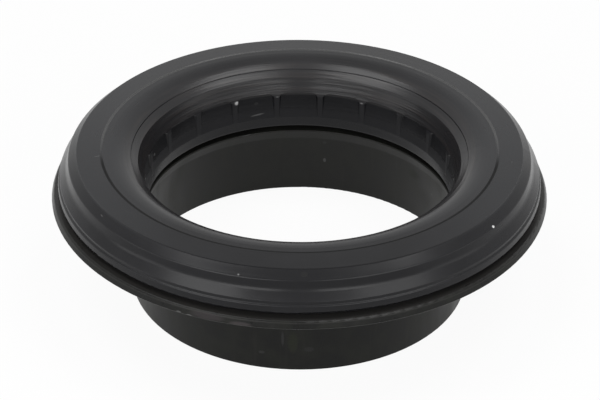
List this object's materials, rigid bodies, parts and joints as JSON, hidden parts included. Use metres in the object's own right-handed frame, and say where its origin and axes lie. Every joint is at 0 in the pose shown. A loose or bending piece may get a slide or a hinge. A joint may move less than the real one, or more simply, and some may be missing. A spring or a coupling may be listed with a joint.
{
  "type": "strut mount bearing",
  "caption": "Round strut mount bearing: a moulded cap turns on balls over a moulded spring seat with a guide tube.",
  "frame": {"origin": "centre of the guide tube's foot, on the surface that the part stands on", "axes": "+Z along the steering axis, from the tube's foot to the cap's face; the part is round about Z"},
  "size_m": [0.1297, 0.1298, 0.0402],
  "materials": {
    "cap_nylon": "satin black moulded nylon",
    "housing_nylon": "matt black moulded nylon",
    "race_steel": "pressed and hardened",
    "ball_steel": "ground and polished",
    "cage_nylon": "natural moulded nylon",
    "seal_rubber": "moulded elastomer"
  },
  "bodies": {
    "housing": {"lower_housing": "housing_nylon", "lower_race": "race_steel", "inner_seal": "seal_rubber", "outer_seal": "seal_rubber"},
    "cap": {"upper_cap": "cap_nylon", "upper_race": "race_steel"},
    "cage": {"ball_cage": "cage_nylon", "ball_01": "ball_steel", "ball_02": "ball_steel", "ball_03": "ball_steel", "ball_04": "ball_steel", "ball_05": "ball_steel", "ball_06": "ball_steel", "ball_07": "ball_steel", "ball_08": "ball_steel", "ball_09": "ball_steel", "ball_10": "ball_steel", "ball_11": "ball_steel", "ball_12": "ball_steel", "ball_13": "ball_steel", "ball_14": "ball_steel", "ball_15": "ball_steel", "ball_16": "ball_steel", "ball_17": "ball_steel", "ball_18": "ball_steel", "ball_19": "ball_steel", "ball_20": "ball_steel", "ball_21": "ball_steel", "ball_22": "ball_steel", "ball_23": "ball_steel", "ball_24": "ball_steel", "ball_25": "ball_steel", "ball_26": "ball_steel", "ball_27": "ball_steel", "ball_28": "ball_steel", "ball_29": "ball_steel", "ball_30": "ball_steel", "ball_31": "ball_steel", "ball_32": "ball_steel", "ball_33": "ball_steel", "ball_34": "ball_steel", "ball_35": "ball_steel", "ball_36": "ball_steel"}
  },
  "joints": [
    {"name": "cap_turn", "type": "hinge", "parent": "housing", "child": "cap", "pos_m": [0, 0, 0.0333], "axis": [0, 0, 1], "continuous": true},
    {"name": "cage_turn", "type": "hinge", "parent": "housing", "child": "cage", "pos_m": [0, 0, 0.0333], "axis": [0, 0, 1], "continuous": true}
  ],
  "couplings": [
    {"joint": "cage_turn", "follows": "cap_turn", "ratio": 0.519}
  ]
}
